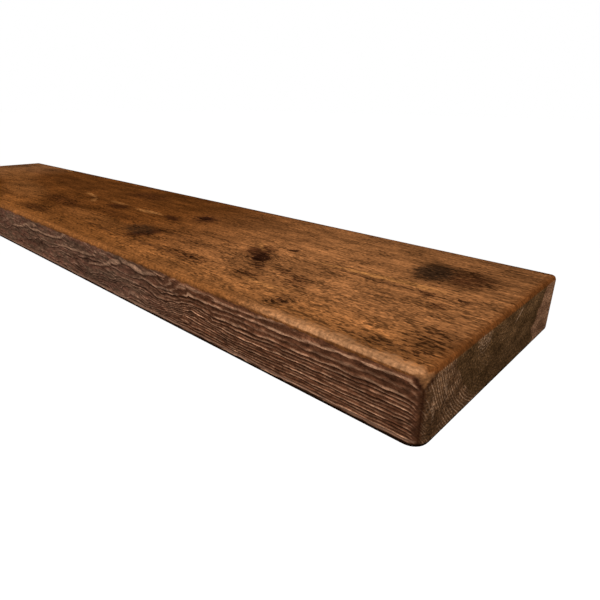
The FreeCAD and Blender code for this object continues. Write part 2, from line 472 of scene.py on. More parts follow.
flap = in_marks(FLAPS, frayed, FLAP_RIM, FLAP_CORE)
shade_spots = frayed + np.array((0, 0, SHADE_DROP))
flap_shade = in_marks(FLAPS, shade_spots, SHADE_RIM, SHADE_CORE) * (1 - flap)
hollow = in_marks(HOLLOWS, frayed)
print("flaps:", len(FLAPS), "hollows:", len(HOLLOWS))

# %% [markdown]
# ## Brushed and sanded
# A wire brush wears the soft early wood out of the front edge and leaves the hard late wood standing as
# ridges, each with a sharp lower side. The torn flaps stand up too. The round-overs are sanded smooth. At
# each front corner the sanded band hangs down in a pale tongue between two dark grooves, which meet below it
# and go on as one. The way each point faces tells which part it belongs to. All the carving goes inwards, so
# the board never grows past its own size.

# %% Which face is which
SKIN = 4.0
BACK_SKIN = 0.04
RIM_REACH = 40.0
WALL_LEAN = (0.3, 0.7)
FRONT_OR_END = (-0.12, 0.12)
END_FACING = (0.3, 0.6)
EDGE_LEAN = (0.12, 0.4)
EDGE_FLAT = (0.86, 0.98)
ROOM_TURN = (-3, 3)

to_side = np.minimum(right - np.abs(x), y - front)
inside = (np.minimum(to_side, top - np.abs(z)) > SKIN) & (y < -BACK_SKIN)
outer = 1 - inside.astype(float)
side_x, side_y, up = np.abs(facing[:, 0]), -facing[:, 1], facing[:, 2]
wall = outer * (1 - step(np.abs(up), *WALL_LEAN))
turn_share = step(side_y - side_x, *FRONT_OR_END)
is_front = wall * turn_share
is_end = wall * (1 - turn_share) * step(side_x, *END_FACING)
is_top_edge = outer * step(up, *EDGE_LEAN) * (1 - step(up, *EDGE_FLAT))
faces_room = step(right - np.abs(x) - (y - front), *ROOM_TURN)
to_rim = np.minimum(to_side, RIM_REACH)
print("front points:", int((is_front > 0.5).sum()), "inside points:", int(inside.sum()))

# %% Corners and ridges
CORNER_FACING = (0.1, 0.3)
TONGUE_HALF = 0.8
TONGUE_RISE = (11, 22)
TONGUE_TIP = (11, 13)
TONGUE_EDGE = (-0.05, 0.15)
GROOVE_SHIFT = 0.15
GROOVE_PARTING = (11, 14)
GROOVE_WIDTH = 0.26
RIDGE_TURN = (0.62, 0.3)
RIDGE_FACING = (0.5, 0.8)
RIDGE_LEAN = (0.15, 0.45)

corner_turn = np.abs(side_y - side_x)
at_corner = wall * step(side_y, *CORNER_FACING) * step(side_x, *CORNER_FACING)
tongue_half = TONGUE_HALF * step(z, *TONGUE_RISE)
is_tongue = at_corner * step(z, *TONGUE_TIP) * step(tongue_half - corner_turn, *TONGUE_EDGE)
to_groove = corner_turn - tongue_half - GROOVE_SHIFT * step(z, *GROOVE_PARTING)
is_corner = at_corner * np.exp(-((to_groove / GROOVE_WIDTH) ** 2))
upright = 1 - step(np.abs(up), *RIDGE_LEAN)
is_ridged = step(side_x, *RIDGE_TURN) * step(side_y, *RIDGE_FACING) * outer * upright
print("tongue points:", int((is_tongue > 0.5).sum()), "ridged points:", int((is_ridged > 0.5).sum()))

# %% [markdown]
# Not every ring stands out. A wave that runs from ring to ring picks the strong ones, but on the right all
# of them show. The brush also bit deeper there, and deeper low on the edge than just under the top.

# %% Ridges of the late wood
RING_STRENGTH_STEP = 2.4
RING_START = 0.6
STRENGTH_MEAN = 0.7
STRENGTH_SPREAD = 0.3
RIDGE_RISE = (0.4, 0.8)
RIDGE_DROP = (0.88, 1.0)
FRONT_RIGHT = (190, 300)
FRONT_MIDDLE = (30, 110)
LOWER_FRONT = (6, -4)
ALL_LINES = 2.0
LINE_LIMIT = (0.6, 1.0)

phase = rings - np.floor(rings)
ridge = step(phase, *RIDGE_RISE) - step(phase, *RIDGE_DROP)
ring_wave = np.sin(RING_STRENGTH_STEP * np.floor(rings + RING_START))
line_show = ALL_LINES * step(x, *FRONT_RIGHT) + step(z, *LOWER_FRONT) * step(x, *FRONT_MIDDLE)
shown = step(ring_wave + line_show, *LINE_LIMIT)
standing = np.maximum(ridge * shown * (STRENGTH_MEAN + STRENGTH_SPREAD * ring_wave), flap)
print("share of the points that stand:", round(float((standing > 0.5).mean()), 2))

# %% Carve the relief
RIDGE_DEPTH = 0.8
BRUSH_LENGTHS = (70, 30, 9)
BRUSH_MEAN = 0.7
BRUSH_SPREAD = 0.3
BRUSH_LEFT = 0.6
BRUSH_RIGHT_MORE = 0.4
BRUSH_TOP_LESS = 0.4
UNDER_TOP = (2, 14)
HOLLOW_DEPTH = 0.4
KNOT_DIP = 0.35
EDGE_WEAR = 0.35
EDGE_LENGTHS = (40, 14, 14)
END_WEAR = 0.1
END_LENGTHS = (9, 6, 6)

brushing = BRUSH_MEAN + BRUSH_SPREAD * wander(BRUSH_LENGTHS, 31)
brushing *= BRUSH_LEFT + BRUSH_RIGHT_MORE * step(x, *FRONT_RIGHT)
brushing *= 1 - BRUSH_TOP_LESS * step(z, *UNDER_TOP)
wear = is_ridged * RIDGE_DEPTH * (brushing * (1 - standing) + HOLLOW_DEPTH * hollow)
wear += is_top_edge * EDGE_WEAR * wander_up(EDGE_LENGTHS, 41)
wear += KNOT_DIP * np.minimum(knot_dip, 1) + is_end * END_WEAR * wander_up(END_LENGTHS, 43)
places -= facing * (wear * outer)[:, None]
mesh.vertices.foreach_set("co", (places * MM).astype(np.float32).ravel())
print("deepest wear in mm:", round(float(wear.max()), 2))

# %% Hand the values to the material
SMOOTH_TURN = math.radians(50)

fields = {
    "rings": rings, "sapwood": sapwood, "drift": drift, "to_rim": to_rim, "slope": up, "outer": outer,
    "is_front": is_front, "is_end": is_end, "is_corner": is_corner, "is_tongue": is_tongue,
    "is_ridged": is_ridged, "faces_room": faces_room, "olive": olive, "red": red, "golden": golden,
    "flap": flap, "flap_shade": flap_shade, "hollow": hollow, "line_show": line_show,
}
for name, values in fields.items():
    mesh.attributes.new(name, "FLOAT", "POINT").data.foreach_set("value", values.astype(np.float32))
mesh.shade_smooth()
mesh.set_sharp_from_angle(angle=SMOOTH_TURN)
mesh.update()
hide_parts("shelf_board")
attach(board, "shelf")
print("values on the board:", ", ".join(fields))


# %% [markdown]
# ## A kit for finishes
# Every surface here is worked out from the place on the piece, so it needs no image. This small kit keeps
# the node trees short to write: a colour by its everyday 0 to 255 values, smooth chance stretched to any
# length along the three axes, and blends between two colours.

# %% Colours
def tone(*values):
    """A colour of 0 to 255 values for red, green and blue, as the shader's linear light."""
    return tuple(Color([value / 255 for value in values]).from_srgb_to_scene_linear())


print("middle grey in linear light:", round(tone(128, 128, 128)[0], 3))

# %% Finish kit
CHANCE_SPREAD = 10.0


class Finish:
    """A material and short ways to add nodes to it."""

    def __init__(self, name):
        self.material = bpy.data.materials.new(name)
        self.material.use_nodes = True
        self.tree = self.material.node_tree
        self.shader = self.tree.nodes["Principled BSDF"]
        place = self.add("ShaderNodeTexCoord").outputs["Object"]
        self.place = self.add("ShaderNodeVectorMath", {0: place, 3: 1 / MM}, operation="SCALE").outputs[0]

    def add(self, kind, sockets=None, **settings):
        """A new node with these settings, each socket linked or set."""
        made = self.tree.nodes.new(kind)
        for name, value in settings.items():
            setattr(made, name, value)
        for key, value in (sockets or {}).items():
            self.feed(made.inputs[key], value)
        return made

    def feed(self, socket, value):
        """Link a socket, or set its plain value. A colour socket also wants an alpha."""
        if isinstance(value, bpy.types.NodeSocket):
            self.tree.links.new(value, socket)
        elif socket.type == "RGBA":
            socket.default_value = (*value, 1.0)
        else:
            socket.default_value = value

    def maths(self, operation, *values):
        """The result of one sum or function of these values."""
        return self.add("ShaderNodeMath", dict(enumerate(values)), operation=operation).outputs[0]

    def smooth(self, value, start, end):
        """0 at start and 1 at end, smooth between them."""
        sockets = {"Value": value, "From Min": start, "From Max": end}
        return self.add("ShaderNodeMapRange", sockets, interpolation_type="SMOOTHSTEP").outputs[0]

    def blend(self, share, first, second):
        """The first colour, with this share of the second."""
        return self.add("ShaderNodeMix", {0: share, 6: first, 7: second}, data_type="RGBA").outputs[2]

    def total(self, *terms):
        """The sum of values, each times its weight."""
        added = 0.0
        for value, weight in terms:
            added = self.maths("MULTIPLY_ADD", value, weight, added)
        return added

    def lit(self, colour, stops):
        """A colour made twice as light for each stop."""
        factor = self.maths("POWER", 2.0, stops)
        return self.add("ShaderNodeVectorMath", {0: colour, 3: factor}, operation="SCALE").outputs[0]

    def chance(self, lengths, detail=3.0, seed=0.0, roughness=0.5):
        """Smooth chance about 0 that changes over these lengths in mm along x, y and z."""
        spot = self.add("ShaderNodeVectorMath", {0: self.place, 1: lengths}, operation="DIVIDE").outputs[0]
        moved = self.add("ShaderNodeVectorMath", {0: spot, 1: (seed, seed, seed)}).outputs[0]
        sockets = {"Vector": moved, "Scale": 1.0, "Detail": detail, "Roughness": roughness}
        noisy = self.add("ShaderNodeTexNoise", sockets).outputs[0]
        return self.maths("MULTIPLY_ADD", noisy, CHANCE_SPREAD, -CHANCE_SPREAD / 2)

    def field(self, name):
        """A value that the mesh carries at its points."""
        return self.add("ShaderNodeAttribute", attribute_name=name).outputs["Fac"]

    def surface(self, colour, roughness, height, depth):
        """Put the last values on the shader, with a fine bump of this depth in metres."""
        bump = self.add("ShaderNodeBump", {"Height": height, "Distance": depth, "Strength": 1.0})
        self.feed(self.shader.inputs["Base Color"], colour)
        self.feed(self.shader.inputs["Roughness"], roughness)
        self.feed(self.shader.inputs["Normal"], bump.outputs[0])

    def tally(self):
        """Print how many nodes the material has so far."""
        print(self.material.name, "nodes:", len(self.tree.nodes))


print("finish kit:", ", ".join(name for name in vars(Finish) if not name.startswith("_")))

# %% [markdown]
# ## The stained wood
# Stain sinks into the soft early wood and stays on top of the hard late wood, so the rings come out pale on
# dark. Chance makes the rest: long fibres and hairs, short dashes and pores, fine grit, and slow clouds of
# stain. All of it is stretched along the grain and bends round the knots with it.

# %% Wood: chance
wood = Finish("stained_pine")
straight = wood.place
along, across, upward = wood.add("ShaderNodeSeparateXYZ", {0: straight}).outputs
bend = wood.add("ShaderNodeCombineXYZ", {1: wood.field("drift")}).outputs[0]
wood.place = wood.add("ShaderNodeVectorMath", {0: straight, 1: bend}).outputs[0]
fibre = wood.chance((40.0, 2.2, 2.2), detail=4.0, seed=5.0)
hair = wood.chance((55.0, 1.7, 1.7), detail=2.0, seed=11.0)
tick = wood.chance((4.6, 1.7, 1.7), detail=2.0, seed=17.0)
crowd = wood.chance((26.0, 11.0, 11.0), detail=3.0, seed=21.0)
dash = wood.chance((7.0, 2.0, 2.0), detail=2.0, seed=29.0)
grit = wood.chance((2.4, 1.7, 1.7), detail=1.0, seed=33.0)
cloud = wood.chance((60.0, 18.0, 18.0), detail=4.0, seed=37.0, roughness=0.55)
jag = wood.chance((11.0, 3.0, 3.0), detail=3.0, seed=41.0)
wood.tally()

# %% Wood: rings
RING_JAG = 0.06
LATE_WOOD = (0.5, 0.8)
RING_END = (0.92, 1.0)
# Early wood where the brush dug in, with a painted shadow just under each ridge.
DUG_AND_SHADE = (0.6, 0.1)

ring = wood.maths("MULTIPLY_ADD", jag, RING_JAG, wood.field("rings"))
ring_phase = wood.maths("FRACT", ring)
ring_number = wood.maths("FLOOR", wood.maths("ADD", ring, RING_START))
line_wave = wood.maths("SINE", wood.maths("MULTIPLY", ring_number, RING_STRENGTH_STEP))
line_strength = wood.maths("MULTIPLY_ADD", line_wave, STRENGTH_SPREAD, STRENGTH_MEAN)
ring_end = wood.smooth(ring_phase, *RING_END)
late_wood = wood.maths("SUBTRACT", wood.smooth(ring_phase, *LATE_WOOD), ring_end)
late_line = wood.maths("MULTIPLY", late_wood, line_strength)
dug_shade_line = wood.maths("MULTIPLY", wood.smooth(ring_phase, *DUG_AND_SHADE), line_strength)
wood.tally()

# %% [markdown]
# The top is the lightest face: golden at the right and along the front, darker and redder to the left. A few
# long streaks of wood stayed pale, and others took more stain. They and the knots are finer than the net of
# points, so the material works out for itself how far each spot is from them.

# %% Wood: frayed places
fray_along = wood.total((tick, 1.2), (crowd, 2.2))
fray_across = wood.total((jag, 0.8), (tick, 0.4))
fray_up = wood.total((jag, 0.5))
shift = wood.add("ShaderNodeCombineXYZ", {0: fray_along, 1: fray_across, 2: fray_up}).outputs[0]
frayed_place = wood.add("ShaderNodeVectorMath", {0: straight, 1: shift}).outputs[0]
wood.tally()

# %% Wood: kit for fine marks
SPECK_LIMIT = (1.0, 2.8)
SPECK_FADE = (0.0, 0.2)


def distance_to(mark):
    """How far each spot is from the middle of a mark, where 1 is the mark's own edge."""
    middle, turns, halves = mark_frame(mark)
    sockets = {"Vector": frayed_place, "Location": middle, "Rotation": turns, "Scale": halves}
    local = wood.add("ShaderNodeMapping", sockets, vector_type="TEXTURE").outputs[0]
    return wood.add("ShaderNodeVectorMath", {0: local}, operation="LENGTH").outputs["Value"]


def fine_marks(marks, rim=MARK_RIM, core=MARK_CORE):
    """How far each spot lies inside one of these marks, from 0 at the rim to the mark's strength."""
    most = 0.0
    for mark in marks:
        share = wood.maths("MULTIPLY", wood.smooth(distance_to(mark), rim, core), mark[-1])
        most = wood.maths("MAXIMUM", share, most)
    return most


def speckled(share):
    """A share that breaks up into specks, more of them where it is high."""
    specks = wood.smooth(wood.total((share, 4.0), (tick, 0.7), (grit, 0.7)), *SPECK_LIMIT)
    specks = wood.maths("MULTIPLY", specks, wood.smooth(share, *SPECK_FADE))
    return wood.total((share, 0.45), (specks, 0.55))


print("specks come at values from", SPECK_LIMIT[0], "to", SPECK_LIMIT[1])

# %% Wood: streaks of the top
DARK_STREAKS = on(
    "top",
    (210, -166, 50, 2.5, 0, 0.5), (385, -104, 46, 3.4, 0, 0.5), (437, -181, 28, 5, 0, 0.4),
    (200, -133, 55, 2, -2, 0.4), (235, -110, 45, 1.8, 3, 0.4), (110, -166, 40, 2.2, -2, 0.5),
)
PALE_STREAKS = on(
    "top",
    (72, -94, 24, 4, 2, 0.6), (380, -98, 48, 2.2, 4, 1.0), (402, -93, 30, 1.6, 5, 0.7),
    (-72, -90, 18, 3, -12, 0.5), (-38, -103, 12, 3.5, -35, 0.45), (5, -92, 20, 3, 0, 0.35),
    (-318, -11, 16, 2.5, -8, 0.9), (266, -102, 12, 2, -40, 0.4), (330, -165, 25, 3, 3, 0.3),
)
dark_streaks = fine_marks(DARK_STREAKS)
pale_streaks = fine_marks(PALE_STREAKS)
print("streaks:", len(DARK_STREAKS), "dark,", len(PALE_STREAKS), "pale")

# %% Wood: rings round the knots
KNOT_RING_STEP = 12.0
KNOT_RING_LINE = (0.1, 0.8)
KNOT_RING_FADE = (3.0, 1.3)
KNOT_RING_SHARE = 0.55
KNOT_RIM = 1.3
KNOT_CORE = 0.7


def knot_rings(marks):
    """Thin rings round each knot that fade out at three times its size."""
    most = 0.0
    for mark in marks:
        away = distance_to(mark)
        wave = wood.maths("SINE", wood.total((away, KNOT_RING_STEP), (jag, 0.9)))
        fading = wood.maths("MULTIPLY", wood.smooth(away, *KNOT_RING_FADE), mark[-1])
        line = wood.maths("MULTIPLY", wood.smooth(wave, *KNOT_RING_LINE), fading)
        most = wood.maths("MAXIMUM", line, most)
    return most


knot_cores = fine_marks(KNOTS, KNOT_RIM, KNOT_CORE)
knot_shade = wood.maths("MULTIPLY", knot_rings(KNOTS), KNOT_RING_SHARE)
wood.tally()

# %% Wood: colours of the top
LEFT_BROWN = tone(102, 58, 24)
RIGHT_TAN = tone(147, 95, 55)
FAR_LEFT_TAN = tone(142, 94, 58)
FRONT_GOLD = tone(150, 93, 46)
CLOUD_GOLD = tone(140, 88, 46)
RED_BROWN = tone(54, 27, 13)
OLIVE_BROWN = tone(52, 34, 21)
STREAK_BROWN = tone(60, 35, 20)
STREAK_GOLD = tone(182, 122, 68)
KNOT_RING_BROWN = tone(52, 30, 18)
KNOT_BROWN = tone(42, 20, 11)
print("left brown in linear light:", [round(value, 3) for value in LEFT_BROWN])

# %% Wood: top
TOP_RIGHT = (95.0, 340.0)
TOP_FAR_LEFT = (-260.0, -440.0)
TOP_FRONT = (-140.0, -185.0)
TOP_BACK = (-90.0, -20.0)
BACK_LEFT_SHARE = 0.35
BACK_RIGHT_MORE = 0.65
FRONT_SHARE = 0.45

to_right = wood.smooth(along, *TOP_RIGHT)
right_share = wood.maths("MULTIPLY_ADD", to_right, BACK_RIGHT_MORE, BACK_LEFT_SHARE)
to_back = wood.maths("MULTIPLY", wood.smooth(across, *TOP_BACK), right_share)
to_front = wood.smooth(across, *TOP_FRONT)
ground = wood.blend(to_right, LEFT_BROWN, RIGHT_TAN)
ground = wood.blend(wood.smooth(along, *TOP_FAR_LEFT), ground, FAR_LEFT_TAN)
ground = wood.blend(wood.maths("MULTIPLY", to_front, FRONT_SHARE), ground, FRONT_GOLD)
ground = wood.blend(wood.field("golden"), ground, CLOUD_GOLD)
ground = wood.blend(speckled(wood.field("red")), ground, RED_BROWN)
ground = wood.blend(speckled(wood.field("olive")), ground, OLIVE_BROWN)
ground = wood.blend(speckled(dark_streaks), ground, STREAK_BROWN)
ground = wood.blend(pale_streaks, ground, STREAK_GOLD)
ground = wood.blend(knot_shade, ground, KNOT_RING_BROWN)
ground = wood.blend(speckled(knot_cores), ground, KNOT_BROWN)
wood.tally()

# %% Wood: pores of the top
PORE_CROWDING = (-60.0, -130.0)
PORE_LIMIT = (1.2, 2.2)
RIGHT_END = (415.0, 450.0)
HAIR_LIMIT = (1.2, 2.0)
PALE_HAIR_LIMIT = (0.9, 1.7)
BACK_RIM = (-9.0, -3.0)

crowding = wood.total((crowd, 0.5), (wood.smooth(across, *PORE_CROWDING), 0.55), (to_right, 0.5))
ticks = wood.smooth(wood.total((tick, 1.0), (crowding, 1.0)), *PORE_LIMIT)
at_end = wood.smooth(along, *RIGHT_END)
hairs = wood.smooth(wood.total((hair, 1.0), (crowd, 0.4), (at_end, 0.7)), *HAIR_LIMIT)
pale_hairs = wood.smooth(wood.total((hair, -1.0), (crowd, -0.3)), *PALE_HAIR_LIMIT)
back_rim = wood.smooth(across, *BACK_RIM)
top_light = wood.total(
    (cloud, 0.28), (fibre, 0.18), (dash, 0.18), (grit, 0.22), (late_line, 0.15), (pale_hairs, 0.3),
    (ticks, -1.15), (hairs, -0.8), (to_back, -0.45), (back_rim, -0.7), (at_end, -0.15),
)
top_colour = wood.lit(ground, top_light)
wood.tally()

# %% [markdown]
# The brushed front is darker and redder, with pale ridge lines, each over a dark line where the brush dug
# in. The pale lines also hold a painted highlight, and the dark lines a painted shadow under each ridge.
# Towards the left the wood is plainer and greyer, and the torn flaps are pale with shade under them.

# %% Wood: ridges of the front
# Pale late wood with a painted highlight on each ridge crest.
CREST_HIGHLIGHT_LEFT = tone(150, 113, 91)
CREST_HIGHLIGHT_RIGHT = tone(190, 143, 111)
# Painted shadow: the dark line under each ridge, over early wood where the brush dug in.
GROOVE_SHADE_LEFT = tone(60, 36, 27)
GROOVE_SHADE_RIGHT = tone(40, 20, 12)
CREST_BREAK = (-1.7, 0.5)

front_right = wood.smooth(along, *FRONT_RIGHT)
ring_shown = wood.smooth(wood.maths("ADD", line_wave, wood.field("line_show")), *LINE_LIMIT)
ridged = wood.maths("MULTIPLY", ring_shown, wood.field("is_ridged"))
broken = wood.smooth(wood.chance((14.0, 4.0, 2.2), detail=3.0, seed=53.0), *CREST_BREAK)
crest_highlight = wood.maths("MULTIPLY", wood.maths("MULTIPLY", late_line, ridged), broken)
# The painted shadow under the ridges is weaker just under the top.
dig_and_shade_depth = wood.total((wood.smooth(upward, *UNDER_TOP), -0.45), (0.9, 1.0))
groove_shade = wood.maths("MULTIPLY", wood.maths("MULTIPLY", dug_shade_line, ridged), dig_and_shade_depth)
crest_highlight_colour = wood.blend(front_right, CREST_HIGHLIGHT_LEFT, CREST_HIGHLIGHT_RIGHT)
groove_shade_colour = wood.blend(front_right, GROOVE_SHADE_LEFT, GROOVE_SHADE_RIGHT)
wood.tally()

# %% Wood: front
PLAIN_RED = tone(115, 77, 60)
PLAIN_GREY = tone(108, 81, 63)
RIGHT_RED = tone(106, 66, 45)
SHADE_BROWN = tone(56, 34, 25)
FLAP_TAN = tone(166, 126, 100)
HOLLOW_BROWN = tone(62, 38, 27)
MOTTLE_MIX = (-1.8, 1.8)
FRONT_SPECKS = (1.0, 2.0)
EDGE_GLOW_HEIGHT = (11.0, 18.0)
EDGE_GLOW_START = (180.0, 260.0)

mottle = wood.chance((16.0, 6.0, 4.0), detail=3.0, seed=57.0)
plain_colour = wood.blend(wood.smooth(mottle, *MOTTLE_MIX), PLAIN_RED, PLAIN_GREY)
front_ground = wood.blend(front_right, plain_colour, RIGHT_RED)
front_ground = wood.blend(crest_highlight, front_ground, crest_highlight_colour)
front_ground = wood.blend(groove_shade, front_ground, groove_shade_colour)
front_ground = wood.blend(wood.total((wood.field("flap_shade"), 0.85)), front_ground, SHADE_BROWN)
front_ground = wood.blend(wood.field("flap"), front_ground, FLAP_TAN)
front_ground = wood.blend(speckled(wood.field("hollow")), front_ground, HOLLOW_BROWN)
front_specks = wood.smooth(wood.total((grit, 1.0), (tick, 0.6)), *FRONT_SPECKS)
glow_height = wood.smooth(upward, *EDGE_GLOW_HEIGHT)
under_edge = wood.maths("MULTIPLY", glow_height, wood.smooth(along, *EDGE_GLOW_START))
front_light = wood.total(
    (cloud, 0.2), (fibre, 0.22), (dash, 0.28), (grit, 0.28), (front_specks, -0.8), (under_edge, 0.35),
)
front_colour = wood.lit(front_ground, front_light)
wood.tally()

# %% [markdown]
# The ends are darkest, because open end grain drinks the most stain: an olive heart between two bands of
# sapwood, crossed by thin pale ring lines. A small knot shows its own rings under the top edge, and a few
# pale scratches cross the end.

# %% Wood: heart and sapwood of the ends
HEART_OLIVE = tone(88, 62, 37)
SAP_BROWN = tone(98, 68, 44)
SAP_TAN = tone(131, 92, 66)
SAP_EDGE = (-1.5, 1.5)
SAP_TO_BACK = (-120.0, -60.0)
LOW_BACK_PLACE = (-70.0, -40.0)
LOW_BACK_HEIGHT = (-6.0, -17.0)

speckle = wood.chance((1.4, 1.6, 1.0), detail=2.0, seed=61.0)
end_cloud = wood.chance((9.0, 16.0, 9.0), detail=4.0, seed=67.0)
at_back = wood.smooth(across, *LOW_BACK_PLACE)
low_back = wood.maths("MULTIPLY", at_back, wood.smooth(upward, *LOW_BACK_HEIGHT))
in_sap = wood.smooth(wood.total((wood.field("sapwood"), 1.0), (low_back, -12.0)), *SAP_EDGE)
sap = wood.blend(wood.smooth(across, *SAP_TO_BACK), SAP_BROWN, SAP_TAN)
end_ground = wood.blend(in_sap, HEART_OLIVE, sap)
wood.tally()

# %% Wood: lines of the ends
END_KNOTS = on("end", (-129, 18, 4, 4, 0, 1.0))
SCRATCHES = on(
    "end", (-75, 14.5, 7, 0.9, 32, 1.0), (-186, 0, 0.8, 8, 8, 0.7), (-174, 4, 0.7, 9, 12, 0.6),
)
SCRATCH_RIM = 1.3
SCRATCH_CORE = 0.8
END_LINE_TAN = tone(182, 144, 114)
HEART_LINES = 0.2
SAP_LINES_MORE = 0.8
END_LINE_BREAK = (-1.2, 0.6)
END_TOP = (-12.0, 14.0)

line_share = wood.maths("MULTIPLY_ADD", in_sap, SAP_LINES_MORE, HEART_LINES)
end_line = wood.maths("MULTIPLY", late_line, line_share)
end_line = wood.maths("MULTIPLY", end_line, wood.smooth(end_cloud, *END_LINE_BREAK))
for pale_line in (knot_rings(END_KNOTS), fine_marks(SCRATCHES, SCRATCH_RIM, SCRATCH_CORE)):
    end_line = wood.maths("MAXIMUM", end_line, pale_line)
end_ground = wood.blend(wood.total((end_line, 0.6)), end_ground, END_LINE_TAN)
to_top = wood.smooth(upward, *END_TOP)
end_light = wood.total((speckle, 0.55), (end_cloud, 0.24), (to_top, 0.45), (-0.22, 1.0))
end_colour = wood.lit(end_ground, end_light)
wood.tally()

# %% [markdown]
# The sanded round-overs have lost some stain: orange-brown on the left of the front and along the ends, and
# a pale tan band along the right of the front, which also holds a painted sheen highlight. The band fades
# out over the first few mm of the top. Under the edges a near-black painted shade stands for the shadow on
# the lower round-over. The bores and pockets were cut after staining and show bare wood.

# %% Wood: bands along the edges
ROUND_SLOPE = (0.99, 0.8)
ROUND_DEPTH = (3.4, 2.5)
RIM_WIDTH = (7.5, 2.5)
RIM_SLOPE = (0.8, 0.95)
LIP_DEPTH = (4.9, 3.7)
LOW_LIP_TOP = (5.6, 4.8)
LOW_LIP_FOOT = (4.2, 3.6)
# Painted shade: where the lower round-over and the foot of the walls would lie in shadow.
BOTTOM_SHADE_HEIGHT = (3.8, 2.8)
BOTTOM_SHADE_SLOPE = (-0.99, -0.93)

slope = wood.field("slope")
below_top = wood.maths("SUBTRACT", top, upward)
above_low = wood.maths("SUBTRACT", upward, bottom)
turning = wood.smooth(slope, *ROUND_SLOPE)
round_over = wood.maths("MULTIPLY", turning, wood.smooth(below_top, *ROUND_DEPTH))
rim_reach = wood.total((wood.field("to_rim"), 1.0), (jag, 0.8), (crowd, 0.5), (grit, 0.9))
rim = wood.maths("MULTIPLY", wood.smooth(rim_reach, *RIM_WIDTH), wood.smooth(slope, *RIM_SLOPE))
lip = wood.smooth(wood.total((below_top, 1.0), (jag, 0.5), (crowd, 0.3)), *LIP_DEPTH)
low_lip_top = wood.smooth(above_low, *LOW_LIP_TOP)
low_lip = wood.maths("SUBTRACT", low_lip_top, wood.smooth(above_low, *LOW_LIP_FOOT))
bottom_shade_band = wood.smooth(above_low, *BOTTOM_SHADE_HEIGHT)
bottom_shade_mask = wood.maths("MULTIPLY", bottom_shade_band, wood.smooth(slope, *BOTTOM_SHADE_SLOPE))
wood.tally()

# %% Wood: colour of the edges
EDGE_ORANGE = tone(150, 93, 48)
# Partly painted highlight: the pale tan is sanded wood with a painted sheen where the round-over catches
# light.
EDGE_TAN_SHEEN = tone(194, 138, 94)
END_EDGE_BROWN = tone(112, 64, 29)
TAN_SHEEN_START = (320.0, 410.0)
EDGE_TICK_LIMIT = (0.2, 1.4)

# Sanded orange-brown edge on the left of the front, pale tan with a painted sheen highlight to the right.
room_edge_sheen = wood.blend(wood.smooth(along, *TAN_SHEEN_START), EDGE_ORANGE, EDGE_TAN_SHEEN)
edge_ground = wood.blend(wood.field("faces_room"), END_EDGE_BROWN, room_edge_sheen)
edge_ticks = wood.smooth(wood.chance((1.4, 6.0, 6.0), detail=1.0, seed=71.0), *EDGE_TICK_LIMIT)
edge_light = wood.total((fibre, 0.12), (grit, 0.25), (tick, 0.12), (cloud, 0.16), (edge_ticks, -0.25))
edge_colour = wood.lit(edge_ground, edge_light)
wood.tally()

# %% Wood: all faces together
BARE_WOOD = tone(208, 168, 114)
LIP_BROWN = tone(132, 81, 43)
LOW_LIP_TAN = tone(176, 136, 112)
TONGUE_TAN = tone(166, 112, 70)
CORNER_BROWN = tone(50, 24, 13)
# Painted shade: near black, standing for the shadow on the lower round-over.
PAINTED_BOTTOM_SHADE = tone(20, 12, 8)

bare_colour = wood.lit(BARE_WOOD, wood.total((fibre, 0.12), (grit, 0.08)))
lip_colour = wood.lit(LIP_BROWN, edge_light)
front_colour = wood.blend(wood.total((low_lip, 0.45)), front_colour, LOW_LIP_TAN)
front_colour = wood.blend(lip, front_colour, lip_colour)
top_colour = wood.blend(wood.total((rim, 0.55)), top_colour, edge_colour)
colour = wood.blend(wood.field("is_front"), top_colour, front_colour)
colour = wood.blend(wood.field("is_end"), colour, end_colour)
# The round-overs take the edge colour: sanded orange, and pale tan with a painted sheen.
colour = wood.blend(wood.total((round_over, 0.95)), colour, edge_colour)
tongue_share = wood.total((wood.field("is_tongue"), 0.85))
colour = wood.blend(tongue_share, colour, wood.lit(TONGUE_TAN, edge_light))
colour = wood.blend(wood.total((wood.field("is_corner"), 0.9)), colour, CORNER_BROWN)
# Paint the shadow of the lower round-over as near-black colour.
colour = wood.blend(wood.total((bottom_shade_mask, 0.95)), colour, PAINTED_BOTTOM_SHADE)
colour = wood.blend(wood.field("outer"), bare_colour, colour)
wood.tally()

# %% Wood: fine relief
FINE_DEPTH = 0.25 * MM
WAX_GLOSS = 0.0
WAX_ROUGHNESS = 0.6

wood.shader.inputs["Specular IOR Level"].default_value = WAX_GLOSS
sheen = wood.total((WAX_ROUGHNESS, 1.0), (fibre, 0.02), (ticks, 0.15))
height = wood.total((fibre, 0.1), (late_line, 0.3), (ticks, -0.6), (hairs, -0.3), (dash, 0.06))
wood.surface(colour, sheen, height, FINE_DEPTH)
mesh.materials.clear()
mesh.materials.append(wood.material)
wood.tally()

# %% [markdown]
# ## Steel and nylon
# The plates and rods are zinc plated, which leaves a cloudy blue-grey bloom. The rods were turned, so fine
# lines run round them. The screws have the yellow of chromated zinc, and the plugs are plain moulded nylon.
# These pieces keep the shape of the frame and only get new surfaces.

# %% Metal finish
BLOOM_LENGTHS = (7.0, 7.0, 7.0)
PLATE_LINES = (18.0, 3.0, 0.3)
ROD_LINES = (9.0, 0.25, 9.0)
SCREW_LINES = (3.0, 0.3, 3.0)
METAL_ROUGHNESS = 0.38
LINE_DEPTH = 0.004 * MM


